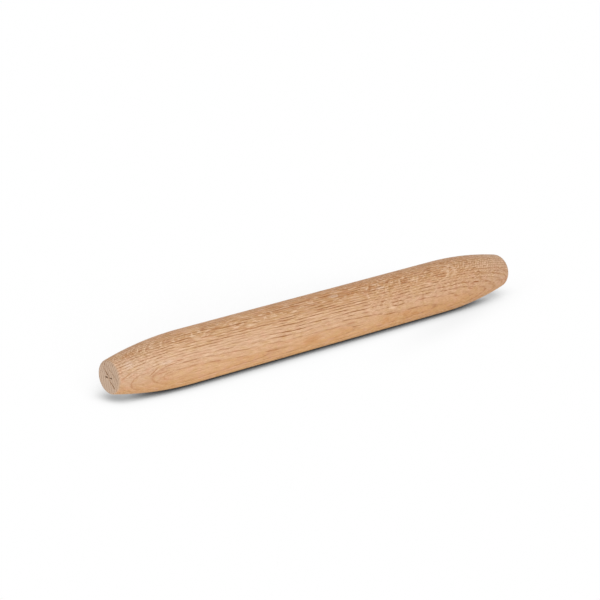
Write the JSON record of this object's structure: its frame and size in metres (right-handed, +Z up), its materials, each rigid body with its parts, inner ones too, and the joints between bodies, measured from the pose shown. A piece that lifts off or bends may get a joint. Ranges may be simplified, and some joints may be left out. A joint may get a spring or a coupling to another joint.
{
  "type": "french rolling pin",
  "caption": "Tapered french rolling pin turned from a single piece of oak: straight barrel, arc tapers, rounded ends and no handles.",
  "frame": {"origin": "under the middle of the pin, on the surface that the barrel lies on", "axes": "+X along the pin from the driven end to the tail end, +Z up from the surface"},
  "size_m": [0.48, 0.05, 0.05],
  "materials": {
    "oak": "sanded and lightly oiled"
  },
  "bodies": {
    "root": {"pin": "oak"}
  },
  "joints": []
}
